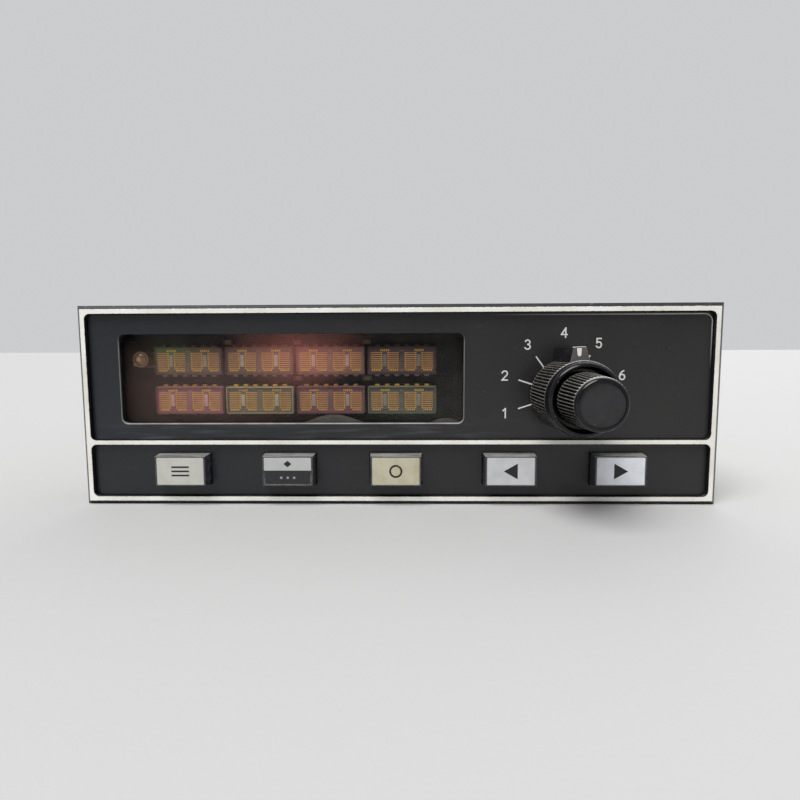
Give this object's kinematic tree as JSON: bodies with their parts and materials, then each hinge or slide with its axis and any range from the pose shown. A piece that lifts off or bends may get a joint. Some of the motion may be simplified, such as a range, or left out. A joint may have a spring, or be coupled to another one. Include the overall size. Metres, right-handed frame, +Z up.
{
  "type": "panel-mount aircraft navigation receiver",
  "caption": "Panel-mount aircraft navigation receiver: bezel with lit displays behind a tinted window, pushbutton keys, a concentric selector and a boxed chassis.",
  "frame": {"origin": "middle of the bezel's back face, which seats on the instrument panel", "axes": "+X to the pilot's right, +Y into the panel, +Z up"},
  "size_m": [0.1588, 0.3035, 0.05],
  "materials": {
    "bezel_black": "satin black, with a bare off-white rim line",
    "faceplate_charcoal": "fine satin",
    "window_tint": "polished, tinted",
    "circuit_board": "solder-mask satin",
    "display_ceramic": "dark glazed, behind a clear lid",
    "sensor_can": "aged",
    "black_moulding": "moulded",
    "key_black": "smoky moulded",
    "legend_plate": "satin, slightly yellowed",
    "plunger_plastic": "moulded",
    "knob_black": "moulded, polished on the crests",
    "knob_cap": "matte inset disc",
    "shaft_steel": "turned",
    "screw_steel": "black oxide",
    "nickel_plate": "nickel plated",
    "switch_body": "moulded",
    "chassis_alloy": "chromate conversion coated",
    "black_anodised": "black anodised",
    "tin_plate": "tin plated",
    "capacitor_sleeve": "shrunk sleeve",
    "battery_sleeve": "shrunk sleeve",
    "ribbon_film": "flat cable"
  },
  "bodies": {
    "unit": {"bezel": "bezel_black", "upper_faceplate": "faceplate_charcoal", "lower_faceplate": "faceplate_charcoal", "window_filter": "window_tint", "front_board": "circuit_board", "display_module_1": "display_ceramic", "display_module_2": "display_ceramic", "display_module_3": "display_ceramic", "display_module_4": "display_ceramic", "display_module_5": "display_ceramic", "display_module_6": "display_ceramic", "display_module_7": "display_ceramic", "display_module_8": "display_ceramic", "display_sockets": "black_moulding", "photocell": "sensor_can", "key_switches": "black_moulding", "selector_bushing": "nickel_plate", "selector_nut": "nickel_plate", "rotary_switch": "switch_body", "encoder": "black_moulding", "chassis_tray": "chassis_alloy", "top_cover": "chassis_alloy", "rear_panel": "chassis_alloy", "heat_sink": "black_anodised", "power_regulators": "black_moulding", "rear_connector": "nickel_plate", "jack_screws": "nickel_plate", "antenna_connector": "nickel_plate", "main_board": "circuit_board", "receiver_board": "circuit_board", "receiver_shield": "tin_plate", "processor_chips": "black_moulding", "filter_capacitors": "capacitor_sleeve", "backup_battery": "battery_sleeve", "front_ribbon": "ribbon_film", "board_standoffs": "nickel_plate", "chassis_screws": "screw_steel", "board_screws": "nickel_plate"},
    "page_button": {"page_key": "key_black", "page_legend": "legend_plate", "page_plunger": "plunger_plastic"},
    "message_button": {"message_key": "key_black", "message_legend": "legend_plate", "message_plunger": "plunger_plastic"},
    "enter_button": {"enter_key": "key_black", "enter_legend": "legend_plate", "enter_plunger": "plunger_plastic"},
    "previous_button": {"previous_key": "key_black", "previous_legend": "legend_plate", "previous_plunger": "plunger_plastic"},
    "next_button": {"next_key": "key_black", "next_legend": "legend_plate", "next_plunger": "plunger_plastic"},
    "mode_selector": {"outer_knob": "knob_black", "outer_knob_set_screw": "screw_steel", "outer_shaft": "shaft_steel"},
    "value_selector": {"inner_knob": "knob_black", "inner_knob_cap": "knob_cap", "inner_knob_set_screw": "screw_steel", "inner_shaft": "shaft_steel"}
  },
  "joints": [
    {"name": "page_press", "type": "slide", "parent": "unit", "child": "page_button", "axis": [0, 1, 0], "range_m": [0, 0.0008], "stiffness_N_per_m": 1200, "springref_m": -0.0004},
    {"name": "message_press", "type": "slide", "parent": "unit", "child": "message_button", "axis": [0, 1, 0], "range_m": [0, 0.0008], "stiffness_N_per_m": 1200, "springref_m": -0.0004},
    {"name": "enter_press", "type": "slide", "parent": "unit", "child": "enter_button", "axis": [0, 1, 0], "range_m": [0, 0.0008], "stiffness_N_per_m": 1200, "springref_m": -0.0004},
    {"name": "previous_press", "type": "slide", "parent": "unit", "child": "previous_button", "axis": [0, 1, 0], "range_m": [0, 0.0008], "stiffness_N_per_m": 1200, "springref_m": -0.0004},
    {"name": "next_press", "type": "slide", "parent": "unit", "child": "next_button", "axis": [0, 1, 0], "range_m": [0, 0.0008], "stiffness_N_per_m": 1200, "springref_m": -0.0004},
    {"name": "mode_turn", "type": "hinge", "parent": "unit", "child": "mode_selector", "pos_m": [0.04155, -0.02, 0.0027], "axis": [0, 1, 0], "range_deg": [-106, 110]},
    {"name": "value_turn", "type": "hinge", "parent": "unit", "child": "value_selector", "pos_m": [0.04155, -0.03, 0.0027], "axis": [0, 1, 0], "continuous": true}
  ]
}
